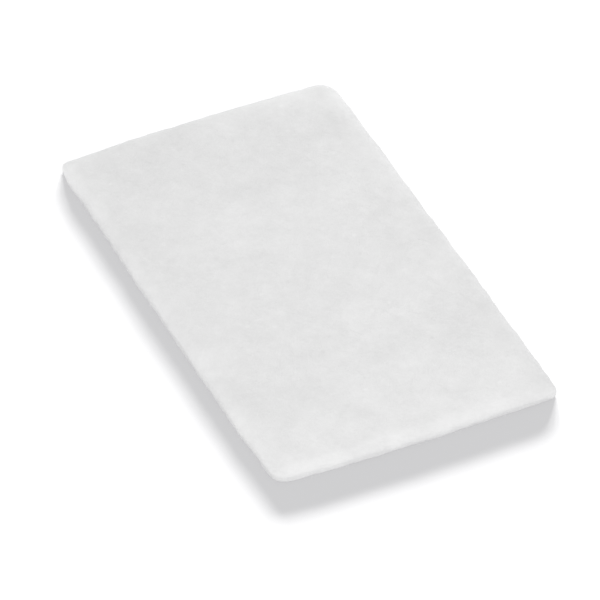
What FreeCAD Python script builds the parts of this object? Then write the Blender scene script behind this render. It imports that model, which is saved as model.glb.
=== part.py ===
"""Disposable intake filter pad of a breathing machine.

The real pad is one die-cut piece of bonded white fibre felt, with no frame, core or second layer.
It lies flat. The origin is at the centre of its underside, +Z is up out of the upper face, the long
side runs along Y and the short side along X. All sizes are in millimetres.

Going up from the underside, the edge has a small turn where the felt rests, a low upright wall that
the blade cut, a rounded shoulder, and a sloping rim that the blade's clamp pressed down. The rim
then rolls into the flat upper face.
"""

import FreeCAD, Part
import math
import os

import Sketcher

NODE = "filter_pad"

SIZES = (
    ("pad_width", 35.0),  # short side, along X
    ("pad_length", 60.0),  # long side, along Y
    ("pad_thickness", 1.8),  # between the two flat faces, not squeezed
    ("corner_radius", 2.4),  # the die's corners, in plan
    ("rim_width", 1.5),  # how far in from the cut the pressed rim reaches
    ("rim_drop", 0.9),  # how far the rim is pressed down at the cut
    ("crown_radius", 2.0),  # roll from the rim into the upper face
    ("shoulder_radius", 0.5),  # turn from the rim into the cut wall
    ("base_radius", 0.2),  # turn from the cut wall into the underside
)

# Share of the rim's own corner radius, at the upper face, that the crown roll may use up.
CROWN_SHARE = 0.9

HEIGHT_TOLERANCE = 1e-6

# How the outline's constraints number a curve's first point, its last point, and the origin.
FIRST_POINT = 1
LAST_POINT = 2
ORIGIN = -1


def fill_sheet(document):
    """The driving sizes, one named cell each."""
    sheet = document.addObject("Spreadsheet::Sheet", "sizes")
    for row, (alias, value) in enumerate(SIZES, start=1):
        sheet.set(f"A{row}", alias)
        sheet.set(f"B{row}", str(value))
        sheet.setAlias(f"B{row}", alias)
    document.recompute()
    return sheet


def origin_plane(body, role):
    """The body's own origin plane of this role."""
    return next(feature for feature in body.Origin.OriginFeatures if feature.Role == role)


def add_outline(body, sheet):
    """The die's outline: four straight sides joined by four tangent corners, about the origin."""
    sketch = body.newObject("Sketcher::SketchObject", "die_outline")
    sketch.AttachmentSupport = [(origin_plane(body, "XY_Plane"), "")]
    sketch.MapMode = "FlatFace"

    radius = sheet.corner_radius
    inner_x = sheet.pad_width / 2 - radius
    inner_y = sheet.pad_length / 2 - radius
    upward = FreeCAD.Vector(0, 0, 1)

    # Anticlockwise from the corner at +X -Y. Each corner turns a quarter, starting a quarter later.
    quarter = math.pi / 2
    corners = []
    for turn, (side_x, side_y) in enumerate(((1, -1), (1, 1), (-1, 1), (-1, -1))):
        centre = FreeCAD.Vector(side_x * inner_x, side_y * inner_y, 0)
        circle = Part.Circle(centre, upward, radius)
        corners.append(Part.ArcOfCircle(circle, (turn - 1) * quarter, turn * quarter))

    # Each straight side runs from the end of the corner before it to the start of its own corner.
    curves = []
    for before, corner in zip(corners[-1:] + corners[:-1], corners):
        curves.append(sketch.addGeometry(Part.LineSegment(before.EndPoint, corner.StartPoint)))
        curves.append(sketch.addGeometry(corner))
    sides = curves[0::2]
    turns = curves[1::2]

    for this, following in zip(curves, curves[1:] + curves[:1]):
        joint = Sketcher.Constraint("Tangent", this, LAST_POINT, following, FIRST_POINT)
        sketch.addConstraint(joint)
    for other in turns[1:]:
        sketch.addConstraint(Sketcher.Constraint("Equal", turns[0], other))
    near, right, far, left = sides
    sketch.addConstraint(Sketcher.Constraint("Horizontal", near))
    sketch.addConstraint(Sketcher.Constraint("Vertical", right))
    for side, opposite in ((near, far), (right, left)):
        mirror = (side, FIRST_POINT, opposite, FIRST_POINT, ORIGIN, FIRST_POINT)
        sketch.addConstraint(Sketcher.Constraint("Symmetric", *mirror))

    across = (left, FIRST_POINT, right, FIRST_POINT)
    along = (near, FIRST_POINT, far, FIRST_POINT)
    width = sketch.addConstraint(Sketcher.Constraint("DistanceX", *across, sheet.pad_width))
    length = sketch.addConstraint(Sketcher.Constraint("DistanceY", *along, sheet.pad_length))
    turn = sketch.addConstraint(Sketcher.Constraint("Radius", turns[0], radius))
    sketch.setExpression(f"Constraints[{width}]", "sizes.pad_width")
    sketch.setExpression(f"Constraints[{length}]", "sizes.pad_length")
    sketch.setExpression(f"Constraints[{turn}]", "sizes.corner_radius")
    return sketch


def edges_at(shape, height):
    """Names of the edges that lie flat at this height."""
    names = []
    for number, edge in enumerate(shape.Edges, start=1):
        box = edge.BoundBox
        if max(abs(box.ZMin - height), abs(box.ZMax - height)) < HEIGHT_TOLERANCE:
            names.append(f"Edge{number}")
    return names


def add_block(body, sketch):
    """The felt as the die cuts it, before its rim is pressed."""
    block = body.newObject("PartDesign::Pad", "cut_block")
    block.Profile = sketch
    block.setExpression("Length", "sizes.pad_thickness")
    return block


def add_rim(body, block, sheet):
    """The pressed rim: a slope all round the upper face, lowest at the cut."""
    rim = body.newObject("PartDesign::Chamfer", "pressed_rim")
    rim.Base = (block, edges_at(block.Shape, sheet.pad_thickness))
    rim.ChamferType = "Two distances"
    rim.setExpression("Size", "sizes.rim_drop")
    rim.setExpression("Size2", "sizes.rim_width")
    return rim


def add_round(body, name, base, height, radius):
    """A fillet along the closed run of edges at this height."""
    rounded = body.newObject("PartDesign::Fillet", name)
    rounded.Base = (base, edges_at(base.Shape, height))
    rounded.setExpression("Radius", radius)
    return rounded


def build_pad(document, sheet):
    """The filter pad, one solid."""
    body = document.addObject("PartDesign::Body", NODE)
    body.Label = NODE

    sketch = add_outline(body, sheet)
    block = add_block(body, sketch)
    document.recompute()

    rim = add_rim(body, block, sheet)
    document.recompute()

    # A roll of radius r uses up r * tan(slope / 2) of the upper face at the top of the rim, so at the
    # corners it is limited by the rim's own plan radius there.
    half_slope = "atan2(sizes.rim_drop; sizes.rim_width) / 2"
    room = f"{CROWN_SHARE} * (sizes.corner_radius - sizes.rim_width) / tan({half_slope})"
    crown_radius = f"min(sizes.crown_radius; {room})"
    crown = add_round(body, "crown_roll", rim, sheet.pad_thickness, crown_radius)
    document.recompute()

    shoulder_height = sheet.pad_thickness - sheet.rim_drop
    shoulder = add_round(body, "shoulder", crown, shoulder_height, "sizes.shoulder_radius")
    document.recompute()

    base = add_round(body, "base_turn", shoulder, 0, "sizes.base_radius")
    body.Tip = base
    document.recompute()
    return body


def check(document, body):
    """Stops the build at a failed feature or a bad solid."""
    for item in document.Objects:
        failed = {"Invalid", "Error"} & set(item.State)
        if failed:
            raise RuntimeError(f"{item.Name} failed: {sorted(failed)}")
    shape = body.Shape
    if shape.isNull() or not shape.isValid():
        raise RuntimeError(f"{body.Label} has no valid shape")
    if len(shape.Solids) != 1:
        raise RuntimeError(f"{body.Label} is not one solid")


def main():
    document = FreeCAD.newDocument("filter")
    sheet = fill_sheet(document)
    pad = build_pad(document, sheet)
    check(document, pad)

    os.makedirs("parts", exist_ok=True)
    pad.Shape.exportStep(f"parts/{pad.Label}.step")
    box = pad.Shape.optimalBoundingBox()
    size = f"{box.XLength:.3f} x {box.YLength:.3f} x {box.ZLength:.3f} mm"
    print(f"{pad.Label}: {size}, {pad.Shape.Volume:.2f} cubic mm")


main()
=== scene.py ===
"""Looks of a disposable intake filter pad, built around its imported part.

The pad is one piece of bonded white fibre felt that lies on a pale floor. Its shape is a cage with
the part's section, which is lofted as cloth, subdivided and roughened. Loose fibres lie on its
faces and stand out of its cut edge. Lengths are in metres, and the frame is the part's own.
"""

import math

import bpy
import numpy as np
from mathutils import Matrix, Vector, noise
from mathutils.bvhtree import BVHTree


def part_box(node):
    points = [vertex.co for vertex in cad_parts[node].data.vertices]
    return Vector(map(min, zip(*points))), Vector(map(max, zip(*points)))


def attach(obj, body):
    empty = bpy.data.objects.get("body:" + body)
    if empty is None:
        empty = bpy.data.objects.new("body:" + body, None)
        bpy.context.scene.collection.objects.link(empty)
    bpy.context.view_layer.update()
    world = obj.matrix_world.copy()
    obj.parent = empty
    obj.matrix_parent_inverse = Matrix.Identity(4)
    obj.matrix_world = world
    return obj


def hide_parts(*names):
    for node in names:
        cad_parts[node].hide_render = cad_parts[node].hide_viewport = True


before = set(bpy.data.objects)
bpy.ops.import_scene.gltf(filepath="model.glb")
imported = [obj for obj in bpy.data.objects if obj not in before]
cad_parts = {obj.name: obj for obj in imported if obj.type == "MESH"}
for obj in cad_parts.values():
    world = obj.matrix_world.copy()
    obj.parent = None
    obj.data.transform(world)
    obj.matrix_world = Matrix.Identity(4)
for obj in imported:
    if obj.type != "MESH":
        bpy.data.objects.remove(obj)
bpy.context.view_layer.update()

MM = 0.001
TINY = 1e-12
NODE = "filter_pad"
SEED = 7

# The pad's outline and thickness, from the frame.
PAD_LOW, PAD_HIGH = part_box(NODE)
HALF_X = (PAD_HIGH.x - PAD_LOW.x) / 2
HALF_Y = (PAD_HIGH.y - PAD_LOW.y) / 2
THICKNESS = PAD_HIGH.z - PAD_LOW.z

# Corner radii in plan, by the signs of the corner's x and y. The die cut them unevenly.
CORNER_RADII = {
    (-1, 1): 0.8 * MM,
    (1, 1): 2.0 * MM,
    (1, -1): 1.0 * MM,
    (-1, -1): 1.9 * MM,
}

# What else differs at the corners: the size at the corner's tip, and how far in it reaches.
# The tip's shift along x and along y:
PULL_X = {
    (-1, 1): (0.10 * MM, 8 * MM),
    (1, -1): (0.05 * MM, 8 * MM),
    (-1, -1): (0.26 * MM, 8 * MM),
}
PULL_Y = {
    (-1, 1): (-0.30 * MM, 8 * MM),
    (1, -1): (-0.07 * MM, 8 * MM),
    (-1, -1): (0.24 * MM, 8 * MM),
}
# The share of the height that is pressed away:
PRESSED = {
    (-1, 1): (0.10, 5 * MM),
    (1, 1): (0.12, 5 * MM),
    (-1, -1): (0.08, 5 * MM),
}
# Painted light at the corners, how much paler the felt is painted along its rim; below 0, painted
# shade:
CORNER_PAINTED_LIGHT = {
    (-1, 1): (0.08, 4 * MM),
    (1, 1): (0.075, 14 * MM),
    (1, -1): (-0.04, 8 * MM),
}
# How far in from the cut that painted light reaches:
CORNER_LIGHT_REACH = 3.6 * MM

# How far each side bows out at its middle: the sides at -X and +X, and those at -Y and +Y.
BOW_X = (0.12 * MM, 0.18 * MM)
BOW_Y = (0.32 * MM, 0.12 * MM)

# A small bulge of the side at -X, beside its far corner: how far out, where along y, and its reach.
# It fades inwards as this power of the way from the middle to the side.
BULGE_SIZE = 0.40 * MM
BULGE_PLACE = HALF_Y - 3.8 * MM
BULGE_REACH = 2.0 * MM
BULGE_FADE = 4

# The edge's section: a small turn at the underside, a cut wall, and a rim that rises to the face.
BASE_TURN = 0.2 * MM
CUT_WALL = 0.75 * MM
RIM_WIDTH = 1.8 * MM
RIM_ROUNDNESS = 0.65
# Rows of the cage round the wall: (height, inset).
SIDE_ROWS = ((0.52 * MM, 0.0), (0.28 * MM, 0.0), (0.07 * MM, 0.06 * MM))

# Lines of the cage: close together over the rim, even over the field.
RIM_LINES = (0.0, 0.08 * MM, 0.25 * MM, 0.55 * MM, 1.0 * MM, 1.55 * MM, 2.2 * MM, 3.1 * MM)
FIELD_STEP = 1.25 * MM
SUBDIVISIONS = 2

# The felt's loft: how far the pressure may move it. The field rises by this much, and the rim sinks
# a little less. The cloth is worked out at this many times its size.
LOFT = 0.06 * MM
LOFT_SCALE = 10
LOFT_FRAMES = 20
LOFT_PRESSURE = 4.0
# The cloth is held up to just above the cut wall, and in from the cut by this much.
HELD_WALL = 1.01 * CUT_WALL
HELD_RIM = 0.3 * MM

# Unevenness of the felt: (height, length) of each wave.
WAVES = ((0.05 * MM, 9 * MM), (0.03 * MM, 2.6 * MM), (0.02 * MM, 0.9 * MM))

# Unevenness of the cut: (height, length) of each wave of the outline, and how far in it reaches.
CUT_WAVES = ((0.12 * MM, 4.5 * MM), (0.10 * MM, 1.3 * MM))
CUT_REACH = 1.2 * MM

# Layers of fibre that show in the cut.
LAYER_DEPTH = 0.06 * MM
LAYER_LENGTH = 1.6 * MM
LAYER_HEIGHT = 0.35 * MM

# Loose fibres. The felt is worked from fibres of this radius, and they lose this share of it
# towards their ends.
FIBRE_RADIUS = 0.006 * MM
FIBRE_TAPER = 0.45
FIBRE_SIDES = 4
# The sides of a fibre are set out square to this direction.
FIBRE_ASIDE = (0.1, 0.1, 1.1)

# Fibres on each face: their number, points and sizes. Bend turns the whole fibre, wander each step.
FACE_FIBRES = 1800
FACE_FIBRE_POINTS = 9
FACE_FIBRE_LENGTH = (1.5 * MM, 6.0 * MM)
FACE_FIBRE_LIFT = (0.0 * MM, 0.012 * MM)
FACE_FIBRE_RADII = (0.7, 1.3)
FACE_FIBRE_BEND = 1.1
FACE_FIBRE_WANDER = 0.35
FACE_FIBRE_MARGIN = 0.1 * MM
FACE_FIBRE_ARCH = 0.7
# How deep the ends are sunk into the face, and how far the middle rises over them, in radii.
FACE_FIBRE_SUNK = 1.2
FACE_FIBRE_RISE = 1.6
# How far off the pad a face's height is looked up from.
FACE_PROBE = 10 * MM

# Fibres that stand out of the edge: their number, points and sizes, and how unevenly they stand.
EDGE_FIBRES = 3600
EDGE_FIBRE_POINTS = 6
EDGE_FIBRE_HEIGHT = (0.04 * MM, 1.5 * MM)
EDGE_FIBRE_LENGTH = 0.22 * MM
EDGE_FIBRE_SPREAD = 0.6
EDGE_FIBRE_LONGEST = 0.7 * MM
EDGE_FIBRE_RADII = (0.6, 1.1)
EDGE_FIBRE_LEAN = 0.75
EDGE_FIBRE_CURL = 0.5
# Fibres that set out by less than this share straight away from the edge are left out.
EDGE_FIBRE_LEAST_OUT = 0.15
# Each fibre is longer by its root, and starts at this share of the root's length inside the felt.
EDGE_FIBRE_ROOT = 0.15 * MM
EDGE_FIBRE_SUNK = 0.6
# The edge is looked up from this far outside it, towards points this far inside the outline.
EDGE_PROBE = 2 * MM
EDGE_AIM = 5 * MM
# How far above the upper face a fibre of the edge may reach.
FIBRE_HEADROOM = 0.1 * MM

# The photograph's camera. The pixel is where the pad's middle is seen.
CAMERA_AZIMUTH = math.radians(-25.06)
CAMERA_ELEVATION = math.radians(41.70)
CAMERA_DISTANCE = 0.6849
IMAGE_SIDE = 600
SENSOR = 36.0
FOCAL_PIXELS = 6000
PAD_PIXEL = (303.0, 274.2)

# The felt. Each shade is a share of its white. A noise's turn and origin or shift say where the pad
# lies in it. Its detail is how many finer layers it has, alone or with their share. An edge is the
# pair of levels between which a shade sets in.
FELT_WHITE = 0.79
NOISE_MIDDLE = 0.5

CLOUD_SHADE = 0.30
CLOUD_LENGTH = 7 * MM
CLOUD_TURN = 2.1
CLOUD_ORIGIN = (398.75 * MM, -428.25 * MM, 40 * MM)
CLOUD_DETAIL = (6, 0.8)

PATCH_SHADE = 0.024
PATCH_LENGTH = 11 * MM
PATCH_TURN = 0.86681
PATCH_ORIGIN = (194.75 * MM, -207.25 * MM, 190 * MM)
PATCH_DETAIL = (3, 0.6)
PATCH_EDGE = (0.47, 0.55)

# The fibres in the felt wander by this much, over this length.
WANDER = (0.5 * MM, 0.5 * MM, 0.1 * MM)
WANDER_LENGTH = 1.7 * MM
WANDER_SHIFT = 20 * MM
WANDER_DETAIL = 1

TANGLE_DETAIL = (2, 0.6)
STREAK_SHADE = 0.015
STREAK_LENGTH = 1.6 * MM
STREAK_WIDTH = 0.11 * MM
STREAK_TURNS = (0.2, 1.0, 1.75, 2.6)
STREAK_SHIFT = 13 * MM
STREAK_EDGE = (0.45, 0.75)
STREAK_BUMP = 0.008 * MM
HAIR_SHADE = 0.07
HAIR_LENGTH = 1.0 * MM
HAIR_WIDTH = 0.035 * MM
HAIR_TURNS = (0.6, 1.4, 2.2, 2.9)
HAIR_SHIFT = 17 * MM
HAIR_EDGE = (0.50, 0.72)
HAIR_BUMP = 0.006 * MM

# Small knots of fibre. Of each one's chance from 0 to 1, those above one level are pale and those
# below the other are dark.
NIT_SHADE = 0.035
NIT_SPACING = 2.4 * MM
NIT_TURN = 0.3
NIT_SHIFT = 30 * MM
NIT_SIZE = 0.16 * MM
NIT_FADE = 2.2
NIT_PALE_ABOVE = 0.55
NIT_DARK_BELOW = 0.25
NIT_BUMP = 0.004 * MM

# Painted light: the felt is painted paler near the cut, over this reach, with a ragged inner edge.
RIM_PAINTED_LIGHT = 0.032
RIM_LIGHT_REACH = 2.3 * MM
RIM_EDGE = (0.15, 0.95)
RIM_RAGGED = 0.8
RIM_RAGGED_LENGTH = 2.2 * MM
RIM_RAGGED_TURN = 2.4
RIM_RAGGED_SHIFT = 70 * MM
RIM_RAGGED_DETAIL = (4, 0.7)

FELT_ROUGHNESS = (0.98, 0.82)
FELT_SPECULAR = 0.25
FELT_SHEEN = 0.08
FELT_SHEEN_ROUGHNESS = 0.6

# The loose fibres' shades of white, which change over this length.
FIBRE_SHADES = (0.92, 0.96)
FIBRE_SHADE_LENGTH = 0.8 * MM
FIBRE_SHADE_DETAIL = 2
FIBRE_SHADE_EDGE = (0.3, 0.7)
FIBRE_ROUGHNESS = (0.6, 0.8)
FIBRE_SPECULAR = 0.3

# The floor's level is part glow and part reflected light, so that the shadow is soft grey on white.
# The glow is a trace blue, which shows in the shadow only.
FLOOR_SIDE = 8.0
FLOOR_DROP = 0.02 * MM
FLOOR_GLOW = 0.484
FLOOR_TINT = (0.983, 0.981, 1.0, 1)
FLOOR_WHITE = 0.18

WORLD_LIGHT = 0.837
WHITE = (1, 1, 1, 1)

# The suns that throw the pad's shadow on the floor. A share is the light on a level surface, where
# 1 shows a colour as it is written. The angles are in degrees.
SHADOW_SHARE = 2.5
SHADOW_ELEVATION = 12.0
SHADOW_AZIMUTH = 151.5
SHADOW_SPREAD = (-8, 0, 8)
SHADOW_WIDTH = 5.5
SUN_DISTANCE = 1.0

# Studio lamps on the felt: (name, share, azimuth, elevation, distance, size).
LAMPS = (
    ("front_lamp", 0.105, -17, 35, 0.24, 0.16),
    ("rear_lamp", 0.04, 135, 20, 0.20, 0.14),
)


def plan_lines(half):
    """Places of the cage's lines across one half width, mirrored: the rim's, then even ones."""
    inner = half - RIM_LINES[-1]
    count = 2 * math.ceil(inner / FIELD_STEP)
    field = np.linspace(-inner, inner, count + 1)
    rim = np.array(RIM_LINES[:-1])
    return np.concatenate([rim - half, field, half - rim[::-1]])


def round_corners(x, y, inset=0.0):
    """Moves points of the full rectangle into its rounded outline, drawn in by inset.

    The square at each corner becomes a quarter disc.
    """
    reach_x, reach_y = HALF_X - inset, HALF_Y - inset
    x, y = x * reach_x / HALF_X, y * reach_y / HALF_Y
    for (side_x, side_y), radius in CORNER_RADII.items():
        radius = radius - inset
        centre_x, centre_y = reach_x - radius, reach_y - radius
        u = (side_x * x - centre_x) / radius
        v = (side_y * y - centre_y) / radius
        corner = (u > 0) & (v > 0)
        u, v = np.where(corner, u, 0), np.where(corner, v, 0)
        disc_x = side_x * (centre_x + radius * u * np.sqrt(1 - v * v / 2))
        disc_y = side_y * (centre_y + radius * v * np.sqrt(1 - u * u / 2))
        x, y = np.where(corner, disc_x, x), np.where(corner, disc_y, y)
    return x, y


def bow_out(x, y):
    """Bows the four sides outward, most at their middles, and adds the small bulge."""
    low, high = BOW_X
    out_x = np.where(x < 0, low, high) * (1 - (y / HALF_Y) ** 2)
    bulge = BULGE_SIZE * np.exp(-(((y - BULGE_PLACE) / BULGE_REACH) ** 2))
    out_x += np.where(x < 0, bulge * (x / HALF_X) ** BULGE_FADE, 0)
    low, high = BOW_Y
    out_y = np.where(y < 0, low, high) * (1 - (x / HALF_X) ** 2)
    return x + out_x * x / HALF_X, y + out_y * y / HALF_Y


def near_corners(x, y, table):
    """Sum of the corners' sizes at each point. Each fades away from its corner's tip."""
    total = np.zeros(len(x))
    for (side_x, side_y), (size, reach) in table.items():
        away = np.hypot(side_x * x - HALF_X, side_y * y - HALF_Y)
        total += size * np.exp(-((away / reach) ** 2))
    return total


def depth_inside(x, y):
    """How far inside the outline each point lies."""
    depth = np.minimum(HALF_X - np.abs(x), HALF_Y - np.abs(y))
    for (side_x, side_y), radius in CORNER_RADII.items():
        out_x = side_x * x - (HALF_X - radius)
        out_y = side_y * y - (HALF_Y - radius)
        corner = (out_x > 0) & (out_y > 0)
        depth = np.where(corner, radius - np.hypot(out_x, out_y), depth)
    return depth


def ease(share):
    """0 up to 0 and 1 from 1, with a smooth step between them."""
    share = np.clip(share, 0, 1)
    return share * share * (3 - 2 * share)


def face_height(depth):
    """Height of the upper face at this depth inside the outline, from the cut wall to the field."""
    across = np.clip(depth / RIM_WIDTH, 0, 1)
    rise = (1 - (1 - across) ** 2) ** RIM_ROUNDNESS
    return CUT_WALL + (THICKNESS - LOFT - CUT_WALL) * rise


def new_mesh(name, points, faces):
    """A mesh object in the scene."""
    mesh = bpy.data.meshes.new(name)
    mesh.from_pydata([tuple(p) for p in points], [], faces)
    mesh.update()
    piece = bpy.data.objects.new(name, mesh)
    bpy.context.scene.collection.objects.link(piece)
    return piece


def read_points(mesh):
    """The mesh's points, as rows of an array."""
    points = np.zeros(len(mesh.vertices) * 3, np.float32)
    mesh.vertices.foreach_get("co", points)
    return points.reshape(-1, 3).astype(float)


def write_points(mesh, points):
    """Moves the mesh's points to these rows."""
    mesh.vertices.foreach_set("co", points.astype(np.float32).ravel())
    mesh.update()


def make_cage():
    """The closed cage of the pad: two faces on one plan grid, joined by rows round the cut edge."""
    lines_x, lines_y = plan_lines(HALF_X), plan_lines(HALF_Y)
    count_x, count_y = len(lines_x), len(lines_y)
    grid_x, grid_y = (g.ravel() for g in np.meshgrid(lines_x, lines_y, indexing="ij"))

    # The grid's border, anticlockwise.
    border = [i * count_y for i in range(count_x)]
    border += [(count_x - 1) * count_y + j for j in range(1, count_y)]
    border += [i * count_y + count_y - 1 for i in range(count_x - 2, -1, -1)]
    border += [j for j in range(count_y - 2, 0, -1)]

    upper_x, upper_y = round_corners(grid_x, grid_y)
    layers = [np.stack([upper_x, upper_y, face_height(depth_inside(upper_x, upper_y))], 1)]
    for height, inset in SIDE_ROWS:
        row_x, row_y = round_corners(grid_x[border], grid_y[border], inset)
        layers.append(np.stack([row_x, row_y, np.full(len(border), height)], 1))
    lower_x, lower_y = round_corners(grid_x, grid_y, BASE_TURN)
    layers.append(np.stack([lower_x, lower_y, np.zeros(len(grid_x))], 1))

    grid_size, ring_size = len(grid_x), len(border)
    lower_start = grid_size + len(SIDE_ROWS) * ring_size
    rings = [border]
    for first in range(grid_size, lower_start, ring_size):
        rings.append(list(range(first, first + ring_size)))
    rings.append([lower_start + i for i in border])

    faces = []
    for i in range(count_x - 1):
        for j in range(count_y - 1):
            a, b = i * count_y + j, (i + 1) * count_y + j
            faces.append((a, b, b + 1, a + 1))
            faces.append(tuple(lower_start + k for k in (a + 1, b + 1, b, a)))
    for above, below in zip(rings, rings[1:]):
        for k in range(ring_size):
            after = (k + 1) % ring_size
            faces.append((above[after], above[k], below[k], below[after]))
    return new_mesh("felt_pad", np.concatenate(layers) + np.array([0, 0, PAD_LOW.z]), faces)


def settle_outline(cage):
    """Gives the cage its uneven outline: bowed sides, and thin corners off square."""
    points = read_points(cage.data)
    x, y = points[:, 0], points[:, 1]
    kept = 1 - near_corners(x, y, PRESSED)
    points[:, 2] = PAD_LOW.z + (points[:, 2] - PAD_LOW.z) * kept
    bowed_x, bowed_y = bow_out(x, y)
    points[:, 0] = bowed_x + near_corners(x, y, PULL_X)
    points[:, 1] = bowed_y + near_corners(x, y, PULL_Y)
    write_points(cage.data, points)


def loft(cage):
    """Raises the field and sinks the rim, as cloth under pressure.

    The cut wall, the underside and the outermost of the rim are held.
    """
    rest = read_points(cage.data)
    sheet = new_mesh("loft", rest * LOFT_SCALE, [tuple(p.vertices) for p in cage.data.polygons])
    held = sheet.vertex_groups.new(name="held")
    depth = depth_inside(rest[:, 0], rest[:, 1])
    fixed = (rest[:, 2] < HELD_WALL) | (depth < HELD_RIM)
    held.add([int(i) for i in np.flatnonzero(fixed)], 1.0, "REPLACE")

    cloth = sheet.modifiers.new("loft", "CLOTH")
    cloth.settings.vertex_group_mass = held.name
    cloth.settings.use_pressure = True
    cloth.settings.uniform_pressure_force = LOFT_PRESSURE
    cloth.settings.effector_weights.gravity = 0
    cloth.point_cache.frame_start = 1
    cloth.point_cache.frame_end = LOFT_FRAMES
    for step in range(1, LOFT_FRAMES + 1):
        bpy.context.scene.frame_set(step)
    lofted = sheet.evaluated_get(bpy.context.evaluated_depsgraph_get()).to_mesh()
    moved = read_points(lofted) / LOFT_SCALE - rest
    bpy.data.objects.remove(sheet)
    bpy.context.scene.frame_set(1)

    # Cloth swells far more than felt does, so each move is eased towards LOFT, and most reach it.
    length = np.linalg.norm(moved, axis=1, keepdims=True)
    eased = LOFT * np.tanh(length / LOFT) / np.maximum(length, TINY)
    write_points(cage.data, rest + moved * eased)


def subdivide(piece):
    """Replaces the piece's mesh with its subdivided surface."""
    smooth = piece.modifiers.new("smooth", "SUBSURF")
    smooth.levels = SUBDIVISIONS
    graph = bpy.context.evaluated_depsgraph_get()
    fine = bpy.data.meshes.new_from_object(piece.evaluated_get(graph))
    piece.modifiers.clear()
    coarse = piece.data
    piece.data = fine
    bpy.data.meshes.remove(coarse)


def waves(points, sizes, seed):
    """Sum of smooth noises, each of its own height and length."""
    height = np.zeros(len(points))
    for number, (size, wave) in enumerate(sizes):
        shift = Vector((seed, number, 0))
        height += [size * noise.noise(Vector(p) / wave + shift) for p in points]
    return height


def outward_plan(x, y):
    """Direction in plan, out of the nearest side."""
    near = 0.01 * MM
    out_x = depth_inside(x - near, y) - depth_inside(x + near, y)
    out_y = depth_inside(x, y - near) - depth_inside(x, y + near)
    out = np.stack([out_x, out_y], axis=1)
    return out / np.maximum(np.linalg.norm(out, axis=1, keepdims=True), near)


def roughen(piece):
    """Adds the felt's unevenness along the normals, and the cut's in plan.

    The underside stays on the floor.
    """
    mesh = piece.data
    points = read_points(mesh)
    x, y = points[:, 0], points[:, 1]
    fade = np.clip(1 - depth_inside(x, y) / CUT_REACH, 0, 1) ** 2
    cut = waves(points, CUT_WAVES, SEED + 1)
    flat = points * np.array([1, 1, LAYER_LENGTH / LAYER_HEIGHT])
    cut += waves(flat, ((LAYER_DEPTH, LAYER_LENGTH),), SEED + 2)
    points[:, :2] += outward_plan(x, y) * (fade * cut)[:, None]
    normals = np.zeros(len(points) * 3, np.float32)
    mesh.vertex_normals.foreach_get("vector", normals)
    normals = normals.reshape(-1, 3)
    points += normals * waves(points, WAVES, SEED)[:, None]
    points[:, 2] = np.maximum(points[:, 2], PAD_LOW.z)
    write_points(mesh, points)


def mark_rim(piece):
    """Stores two values for the painted light, both 0 in the field: nearness to the cut and
    paleness.
    """
    points = read_points(piece.data)
    x, y = points[:, 0], points[:, 1]
    depth = depth_inside(x, y)
    values_by_name = {
        "rim": ease(1 - depth / RIM_LIGHT_REACH),
        "pale": ease(1 - depth / CORNER_LIGHT_REACH) * near_corners(x, y, CORNER_PAINTED_LIGHT),
    }
    for name, values in values_by_name.items():
        stored = piece.data.attributes.new(name, "FLOAT", "POINT")
        stored.data.foreach_set("value", values.astype(np.float32))


def make_pad():
    """The pad's one piece of felt, in place of the plain solid."""
    pad = make_cage()
    loft(pad)
    settle_outline(pad)
    subdivide(pad)
    mark_rim(pad)
    roughen(pad)
    for face in pad.data.polygons:
        face.use_smooth = True
    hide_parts(NODE)
    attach(pad, "root")
    return pad


def smooth_ends(count):
    """Radius along a fibre, as a share of its middle: it thins towards both ends."""
    along = np.linspace(0, 1, count)
    return 1 - FIBRE_TAPER + FIBRE_TAPER * np.sqrt(np.sin(np.pi * along))


def tubes(name, paths, radii):
    """One mesh of closed thin tubes. paths holds each fibre's points, radii its middle radius."""
    fibres, count, _ = paths.shape
    along = np.gradient(paths, axis=1)
    along /= np.linalg.norm(along, axis=2, keepdims=True)
    across = np.cross(along, np.array(FIBRE_ASIDE))
    across /= np.linalg.norm(across, axis=2, keepdims=True)
    above = np.cross(across, along)
    thick = (radii[:, None] * smooth_ends(count)[None, :])[:, :, None]
    rings = []
    for side in range(FIBRE_SIDES):
        angle = 2 * math.pi * side / FIBRE_SIDES
        rings.append(paths + thick * (math.cos(angle) * across + math.sin(angle) * above))
    points = np.stack(rings, axis=2).reshape(-1, 3)
    points[:, 2] = np.maximum(points[:, 2], PAD_LOW.z)

    faces = []
    for fibre in range(fibres):
        first = fibre * count * FIBRE_SIDES
        last = first + (count - 1) * FIBRE_SIDES
        faces.append(tuple(first + side for side in range(FIBRE_SIDES)))
        faces.append(tuple(last + side for side in reversed(range(FIBRE_SIDES))))
        for start in range(first, last, FIBRE_SIDES):
            for side in range(FIBRE_SIDES):
                after = (side + 1) % FIBRE_SIDES
                ring = start + FIBRE_SIDES
                faces.append((start + side, ring + side, ring + after, start + after))
    piece = new_mesh(name, points, faces)
    for face in piece.data.polygons:
        face.use_smooth = True
    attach(piece, "root")
    return piece


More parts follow.
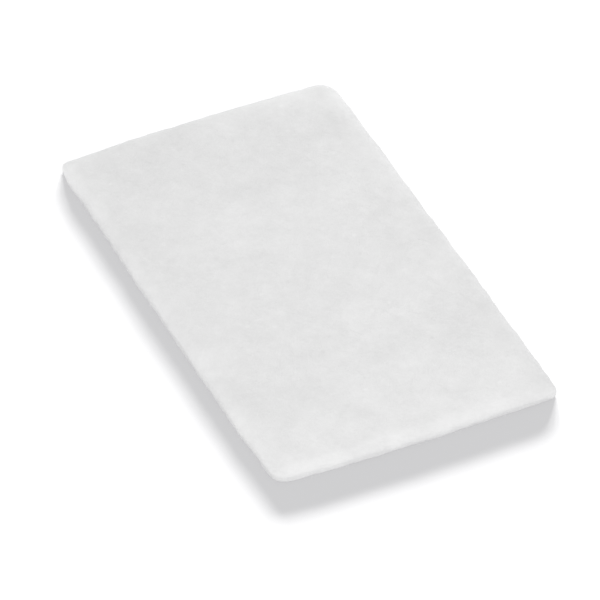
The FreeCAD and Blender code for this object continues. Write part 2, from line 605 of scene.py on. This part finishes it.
def face_fibres(name, surface, up, draw):
    """Curved fibres that lie on a face of the felt, their ends worked into it. up is 1 or -1."""
    count = FACE_FIBRE_POINTS
    length = draw.uniform(*FACE_FIBRE_LENGTH, FACE_FIBRES)
    start_x = draw.uniform(-HALF_X, HALF_X, FACE_FIBRES)
    start_y = draw.uniform(-HALF_Y, HALF_Y, FACE_FIBRES)
    turn = draw.uniform(0, 2 * math.pi, FACE_FIBRES)
    bend = draw.normal(0, FACE_FIBRE_BEND, (FACE_FIBRES, 1))
    bend = bend + draw.normal(0, FACE_FIBRE_WANDER, (FACE_FIBRES, count))
    heading = turn[:, None] + np.cumsum(bend / count, axis=1)
    step = (length / (count - 1))[:, None]
    x = start_x[:, None] + np.cumsum(step * np.cos(heading), axis=1)
    y = start_y[:, None] + np.cumsum(step * np.sin(heading), axis=1)
    lift = draw.uniform(*FACE_FIBRE_LIFT, FACE_FIBRES)
    radii = FIBRE_RADIUS * draw.uniform(*FACE_FIBRE_RADII, FACE_FIBRES)

    inside = (depth_inside(x, y) > FACE_FIBRE_MARGIN).all(axis=1)
    x, y, lift, radii = x[inside], y[inside], lift[inside], radii[inside]
    arch = np.sin(np.pi * np.linspace(0, 1, count)) ** FACE_FIBRE_ARCH
    rise = (lift + FACE_FIBRE_RISE * radii)[:, None] * arch[None, :]
    high = (-FACE_FIBRE_SUNK * radii)[:, None] + rise
    z = np.empty_like(x)
    inward = Vector((0, 0, -up))
    for index in np.ndindex(x.shape):
        start = Vector((x[index], y[index], PAD_LOW.z + up * FACE_PROBE))
        place, _, _, _ = surface.ray_cast(start, inward)
        z[index] = place.z + up * high[index]
    z = np.maximum(z, PAD_LOW.z + FIBRE_RADIUS)
    return tubes(name, np.stack([x, y, z], axis=2), radii)


def edge_fibres(name, surface, draw):
    """Short fibres that stand out of the cut edge and the rim."""
    side = draw.random(EDGE_FIBRES) * (HALF_X + HALF_Y)
    sign_x = draw.choice((-1, 1), EDGE_FIBRES)
    sign_y = draw.choice((-1, 1), EDGE_FIBRES)
    on_short = side < HALF_X
    foot_x = np.where(on_short, side, HALF_X) * sign_x
    foot_y = np.where(on_short, HALF_Y, side - HALF_X) * sign_y
    height = draw.uniform(*EDGE_FIBRE_HEIGHT, EDGE_FIBRES)
    length = EDGE_FIBRE_LENGTH * draw.lognormal(0, EDGE_FIBRE_SPREAD, EDGE_FIBRES)
    length = np.minimum(length, EDGE_FIBRE_LONGEST)
    radii = FIBRE_RADIUS * draw.uniform(*EDGE_FIBRE_RADII, EDGE_FIBRES)
    lean = draw.normal(0, EDGE_FIBRE_LEAN, (EDGE_FIBRES, 3))
    curl = draw.normal(0, EDGE_FIBRE_CURL, (EDGE_FIBRES, 3))
    aim_x, aim_y = HALF_X - EDGE_AIM, HALF_Y - EDGE_AIM
    paths, kept = [], []
    for number in range(EDGE_FIBRES):
        foot = Vector((foot_x[number], foot_y[number], PAD_LOW.z + height[number]))
        # The way in is straight at the sides, and aslant at the corners.
        aim = Vector((max(-aim_x, min(aim_x, foot.x)), max(-aim_y, min(aim_y, foot.y)), foot.z))
        inward = (aim - foot).normalized()
        hit, normal, _, _ = surface.ray_cast(foot - inward * EDGE_PROBE, inward)
        if hit is None:
            continue
        out = (Vector(normal) + Vector(lean[number])).normalized()
        if out.dot(normal) < EDGE_FIBRE_LEAST_OUT:
            continue
        way = np.array(out)
        point = np.array(hit) - np.array(normal) * EDGE_FIBRE_ROOT * EDGE_FIBRE_SUNK
        step = (length[number] + EDGE_FIBRE_ROOT) / (EDGE_FIBRE_POINTS - 1)
        path = [point]
        for _ in range(EDGE_FIBRE_POINTS - 1):
            way = way + curl[number] / EDGE_FIBRE_POINTS
            way /= np.linalg.norm(way)
            point = point + way * step
            path.append(point)
        path = np.array(path)
        path[:, 2] = np.clip(path[:, 2], PAD_LOW.z + radii[number], PAD_HIGH.z + FIBRE_HEADROOM)
        paths.append(path)
        kept.append(radii[number])
    return tubes(name, np.array(paths), np.array(kept))


def make_fibres(pad):
    """The loose fibres of both faces and of the cut edge."""
    draw = np.random.default_rng(SEED)
    corners = [corner.co for corner in pad.data.vertices]
    surface = BVHTree.FromPolygons(corners, [face.vertices for face in pad.data.polygons])
    return [
        face_fibres("upper_fibres", surface, 1, draw),
        face_fibres("lower_fibres", surface, -1, draw),
        edge_fibres("edge_fibres", surface, draw),
    ]


class Graph:
    """Short calls for the nodes of one material."""

    def __init__(self, name):
        self.made = bpy.data.materials.new(name)
        self.made.use_nodes = True
        self.nodes, self.links = self.made.node_tree.nodes, self.made.node_tree.links
        self.nodes.clear()
        self.output = self.nodes.new("ShaderNodeOutputMaterial")

    def join(self, value, socket):
        """Sets a socket, or links it to another node's output."""
        if isinstance(value, bpy.types.NodeSocket):
            self.links.new(value, socket)
        else:
            socket.default_value = value

    def math(self, operation, first, second=0.0):
        """A sum, product or comparison of two values."""
        node = self.nodes.new("ShaderNodeMath")
        node.operation = operation
        self.join(first, node.inputs[0])
        self.join(second, node.inputs[1])
        return node.outputs[0]

    def place(self):
        """The point's place in the part's frame."""
        return self.nodes.new("ShaderNodeTexCoord").outputs["Object"]

    def stored(self, name):
        """A value that the mesh stores at its points."""
        node = self.nodes.new("ShaderNodeAttribute")
        node.attribute_name = name
        return node.outputs["Fac"]

    def turned(self, place, angle, sizes, origin=(0.0, 0.0, 0.0)):
        """The place seen from this origin, turned about Z and measured in units of these sizes."""
        node = self.nodes.new("ShaderNodeMapping")
        node.vector_type = "TEXTURE"
        self.join(place, node.inputs["Vector"])
        node.inputs["Location"].default_value = origin
        node.inputs["Rotation"].default_value = (0, 0, angle)
        node.inputs["Scale"].default_value = sizes
        return node.outputs[0]

    def noise(self, place, detail=0.0, roughness=0.5):
        """Soft noise, with finer noise over it."""
        node = self.nodes.new("ShaderNodeTexNoise")
        self.join(place, node.inputs["Vector"])
        node.inputs["Scale"].default_value = 1.0
        node.inputs["Detail"].default_value = detail
        node.inputs["Roughness"].default_value = roughness
        return node

    def tangle(self, place, turns, length, width, shift):
        """Streaks of this length and width, that lie in several directions over each other."""
        most = None
        for number, angle in enumerate(turns):
            layer = self.turned(place, angle, (length, width, width), (shift * number,) * 3)
            streak = self.noise(layer, *TANGLE_DETAIL).outputs[0]
            most = streak if most is None else self.math("MAXIMUM", most, streak)
        return most

    def span(self, value, low, high, out_low=0.0, out_high=1.0):
        """Maps low..high to out_low..out_high, smoothly and held at both ends."""
        node = self.nodes.new("ShaderNodeMapRange")
        node.interpolation_type = "SMOOTHSTEP"
        self.join(value, node.inputs["Value"])
        node.inputs["From Min"].default_value = low
        node.inputs["From Max"].default_value = high
        node.inputs["To Min"].default_value = out_low
        node.inputs["To Max"].default_value = out_high
        return node.outputs[0]


def felt_material():
    """White bonded felt: faint clouds, tangled fibres, small nits, painted light and shade at its
    rim.
    """
    graph = Graph("white_felt")
    place = graph.place()

    clouds = graph.turned(place, CLOUD_TURN, (CLOUD_LENGTH,) * 3, CLOUD_ORIGIN)
    clouds = graph.noise(clouds, *CLOUD_DETAIL).outputs[0]
    patches = graph.turned(place, PATCH_TURN, (PATCH_LENGTH,) * 3, PATCH_ORIGIN)
    patches = graph.noise(patches, *PATCH_DETAIL).outputs[0]
    patches = graph.span(patches, *PATCH_EDGE)

    # The fibres wander, so the place is first bent by a soft noise.
    bend = graph.turned(place, 0.0, (WANDER_LENGTH,) * 3, (WANDER_SHIFT,) * 3)
    bend = graph.noise(bend, WANDER_DETAIL).outputs["Color"]
    bent = graph.nodes.new("ShaderNodeVectorMath")
    bent.operation = "MULTIPLY_ADD"
    graph.join(bend, bent.inputs[0])
    bent.inputs[1].default_value = WANDER
    graph.join(place, bent.inputs[2])
    bent = bent.outputs[0]
    streaks = graph.tangle(bent, STREAK_TURNS, STREAK_LENGTH, STREAK_WIDTH, STREAK_SHIFT)
    streaks = graph.span(streaks, *STREAK_EDGE)
    hairs = graph.tangle(bent, HAIR_TURNS, HAIR_LENGTH, HAIR_WIDTH, HAIR_SHIFT)
    hairs = graph.span(hairs, *HAIR_EDGE)

    nits = graph.nodes.new("ShaderNodeTexVoronoi")
    nit_place = graph.turned(place, NIT_TURN, (NIT_SPACING,) * 3, (NIT_SHIFT,) * 3)
    graph.join(nit_place, nits.inputs["Vector"])
    nits.inputs["Scale"].default_value = 1.0
    ratio = NIT_SIZE / NIT_SPACING
    nit = graph.span(nits.outputs["Distance"], ratio, NIT_FADE * ratio, 1, 0)
    split = graph.nodes.new("ShaderNodeSeparateColor")
    graph.join(nits.outputs["Color"], split.inputs[0])
    chance = split.outputs[0]
    pale = graph.math("GREATER_THAN", chance, NIT_PALE_ABOVE)
    dark = graph.math("LESS_THAN", chance, NIT_DARK_BELOW)
    nit_shade = graph.math("MULTIPLY", nit, graph.math("SUBTRACT", pale, dark))

    # Painted light and shade: paler near the cut and at two corners, darker at the third.
    rim, corner_painted_light = graph.stored("rim"), graph.stored("pale")
    ragged_sizes = (RIM_RAGGED_LENGTH,) * 3
    ragged = graph.turned(place, RIM_RAGGED_TURN, ragged_sizes, (RIM_RAGGED_SHIFT,) * 3)
    ragged = graph.noise(ragged, *RIM_RAGGED_DETAIL).outputs[0]
    ragged = graph.math("MULTIPLY", graph.math("SUBTRACT", ragged, NOISE_MIDDLE), RIM_RAGGED)
    rim_painted_light = graph.span(graph.math("ADD", rim, ragged), *RIM_EDGE)

    shade = graph.math("MULTIPLY_ADD", graph.math("SUBTRACT", clouds, NOISE_MIDDLE), CLOUD_SHADE)
    shade.node.inputs[2].default_value = 1.0
    parts = (
        (patches, PATCH_SHADE),
        (streaks, STREAK_SHADE),
        (hairs, HAIR_SHADE),
        (nit_shade, NIT_SHADE),
        (rim_painted_light, RIM_PAINTED_LIGHT),
        (corner_painted_light, 1.0),
    )
    for part, size in parts:
        added = graph.math("MULTIPLY_ADD", part, size)
        graph.join(shade, added.node.inputs[2])
        shade = added
    level = graph.math("MULTIPLY", shade, FELT_WHITE)
    colour = graph.nodes.new("ShaderNodeCombineColor")
    for socket in colour.inputs:
        graph.join(level, socket)

    bump = graph.nodes.new("ShaderNodeBump")
    bump.inputs["Strength"].default_value = 1.0
    bump.inputs["Distance"].default_value = STREAK_BUMP
    height = streaks
    for part, size in ((nit, NIT_BUMP), (hairs, HAIR_BUMP)):
        height = graph.math("ADD", height, graph.math("MULTIPLY", part, size / STREAK_BUMP))
    graph.join(height, bump.inputs["Height"])

    surface = graph.nodes.new("ShaderNodeBsdfPrincipled")
    graph.join(colour.outputs[0], surface.inputs["Base Color"])
    graph.join(graph.span(streaks, 0, 1, *FELT_ROUGHNESS), surface.inputs["Roughness"])
    surface.inputs["Specular IOR Level"].default_value = FELT_SPECULAR
    surface.inputs["Sheen Weight"].default_value = FELT_SHEEN
    surface.inputs["Sheen Roughness"].default_value = FELT_SHEEN_ROUGHNESS
    graph.join(bump.outputs[0], surface.inputs["Normal"])
    graph.join(surface.outputs["BSDF"], graph.output.inputs["Surface"])
    return graph.made


def fibre_material():
    """Single fibres, paler than the felt that they stand on, since they don't shade themselves."""
    graph = Graph("white_fibre")
    tone = graph.turned(graph.place(), 0.0, (FIBRE_SHADE_LENGTH,) * 3)
    tone = graph.noise(tone, FIBRE_SHADE_DETAIL).outputs[0]
    level = graph.span(tone, *FIBRE_SHADE_EDGE, *FIBRE_SHADES)
    colour = graph.nodes.new("ShaderNodeCombineColor")
    for socket in colour.inputs:
        graph.join(level, socket)
    surface = graph.nodes.new("ShaderNodeBsdfPrincipled")
    graph.join(colour.outputs[0], surface.inputs["Base Color"])
    roughness = graph.span(tone, *FIBRE_SHADE_EDGE, *FIBRE_ROUGHNESS)
    graph.join(roughness, surface.inputs["Roughness"])
    surface.inputs["Specular IOR Level"].default_value = FIBRE_SPECULAR
    graph.join(surface.outputs["BSDF"], graph.output.inputs["Surface"])
    return graph.made


def floor_material():
    """Pale floor, part glow and part reflected light."""
    graph = Graph("pale_floor")
    glow = graph.nodes.new("ShaderNodeEmission")
    glow.inputs["Color"].default_value = FLOOR_TINT
    glow.inputs["Strength"].default_value = FLOOR_GLOW
    reflected = graph.nodes.new("ShaderNodeBsdfDiffuse")
    reflected.inputs["Color"].default_value = (FLOOR_WHITE, FLOOR_WHITE, FLOOR_WHITE, 1)
    both = graph.nodes.new("ShaderNodeAddShader")
    graph.join(glow.outputs[0], both.inputs[0])
    graph.join(reflected.outputs[0], both.inputs[1])
    graph.join(both.outputs[0], graph.output.inputs["Surface"])
    graph.made.cycles.emission_sampling = "NONE"
    return graph.made


def make_floor():
    """The floor, a hair under the pad."""
    half = FLOOR_SIDE / 2
    plan = ((-half, -half), (half, -half), (half, half), (-half, half))
    floor = new_mesh("floor", [(x, y, -FLOOR_DROP) for x, y in plan], [(0, 1, 2, 3)])
    floor.data.materials.append(floor_material())
    return floor


def make_world():
    """Even studio light, seen as white by the camera and in reflections."""
    world = bpy.data.worlds.new("studio")
    bpy.context.scene.world = world
    world.use_nodes = True
    nodes, links = world.node_tree.nodes, world.node_tree.links
    nodes.clear()
    output = nodes.new("ShaderNodeOutputWorld")
    light = nodes.new("ShaderNodeBackground")
    light.inputs["Strength"].default_value = WORLD_LIGHT
    white = nodes.new("ShaderNodeBackground")
    white.inputs["Strength"].default_value = 1.0
    for background in (light, white):
        background.inputs["Color"].default_value = WHITE
    path = nodes.new("ShaderNodeLightPath")
    seen = path.outputs["Is Camera Ray"]
    for ray in ("Is Glossy Ray", "Is Transmission Ray"):
        either = nodes.new("ShaderNodeMath")
        either.operation = "MAXIMUM"
        links.new(seen, either.inputs[0])
        links.new(path.outputs[ray], either.inputs[1])
        seen = either.outputs[0]
    mix = nodes.new("ShaderNodeMixShader")
    links.new(seen, mix.inputs[0])
    links.new(light.outputs[0], mix.inputs[1])
    links.new(white.outputs[0], mix.inputs[2])
    links.new(mix.outputs[0], output.inputs["Surface"])


def outward(azimuth, elevation):
    """Unit vector from the pad towards this azimuth and elevation, measured as the camera's are."""
    flat = math.cos(elevation)
    return Vector((math.sin(azimuth) * flat, -math.cos(azimuth) * flat, math.sin(elevation)))


def make_camera():
    """The camera, aimed so that the pad's middle falls on its pixel."""
    camera = bpy.data.cameras.new("camera")
    camera.sensor_width = SENSOR
    camera.lens = SENSOR * FOCAL_PIXELS / IMAGE_SIDE
    holder = bpy.data.objects.new("camera", camera)
    bpy.context.scene.collection.objects.link(holder)
    bpy.context.scene.camera = holder

    back = outward(CAMERA_AZIMUTH, CAMERA_ELEVATION)
    right = Vector((math.cos(CAMERA_AZIMUTH), math.sin(CAMERA_AZIMUTH), 0))
    up = back.cross(right)
    pixel = CAMERA_DISTANCE / FOCAL_PIXELS
    across = (PAD_PIXEL[0] - IMAGE_SIDE / 2) * pixel
    down = (PAD_PIXEL[1] - IMAGE_SIDE / 2) * pixel
    middle = (PAD_LOW + PAD_HIGH) / 2
    place = middle + back * CAMERA_DISTANCE - right * across + up * down
    axes = Matrix((right, up, back)).transposed()
    holder.matrix_world = Matrix.Translation(place) @ axes.to_4x4()


def light_only(holder, receivers):
    """The lamp lights only these pieces, and everything shades them."""
    lit = bpy.data.collections.new(holder.name + "_lit")
    for piece in receivers:
        lit.objects.link(piece)
    holder.light_linking.receiver_collection = lit


def place_lamp(name, kind, azimuth, elevation, distance):
    """A lamp that shines on the pad's middle, with its angles in degrees."""
    lamp = bpy.data.lights.new(name, kind)
    holder = bpy.data.objects.new(name, lamp)
    direction = outward(math.radians(azimuth), math.radians(elevation))
    holder.location = direction * distance
    holder.rotation_mode = "QUATERNION"
    holder.rotation_quaternion = direction.to_track_quat("Z", "Y")
    holder.visible_camera = False
    bpy.context.scene.collection.objects.link(holder)
    return lamp, holder


def make_lights(pieces, floor):
    """The suns that light the floor only, and the lamps that light the felt only.

    Facing the surface, a sun of strength pi or a disc of power (pi * distance) ** 2 has share 1.
    """
    for number, turn in enumerate(SHADOW_SPREAD):
        name = f"floor_lamp_{number}"
        azimuth = SHADOW_AZIMUTH + turn
        lamp, holder = place_lamp(name, "SUN", azimuth, SHADOW_ELEVATION, SUN_DISTANCE)
        share = SHADOW_SHARE / len(SHADOW_SPREAD)
        lamp.energy = share * math.pi / math.sin(math.radians(SHADOW_ELEVATION))
        lamp.angle = math.radians(SHADOW_WIDTH)
        light_only(holder, [floor])
    for name, share, azimuth, elevation, distance, size in LAMPS:
        lamp, holder = place_lamp(name, "AREA", azimuth, elevation, distance)
        lamp.shape = "DISK"
        lamp.size = size
        lamp.energy = share * (math.pi * distance) ** 2 / math.sin(math.radians(elevation))
        light_only(holder, pieces)


make_camera()
pad = make_pad()
fibres = make_fibres(pad)
pieces = [pad] + fibres
pad.data.materials.append(felt_material())
fibre = fibre_material()
for piece in fibres:
    piece.data.materials.append(fibre)
floor = make_floor()
make_world()
make_lights(pieces, floor)
bpy.context.scene.view_settings.view_transform = "Standard"
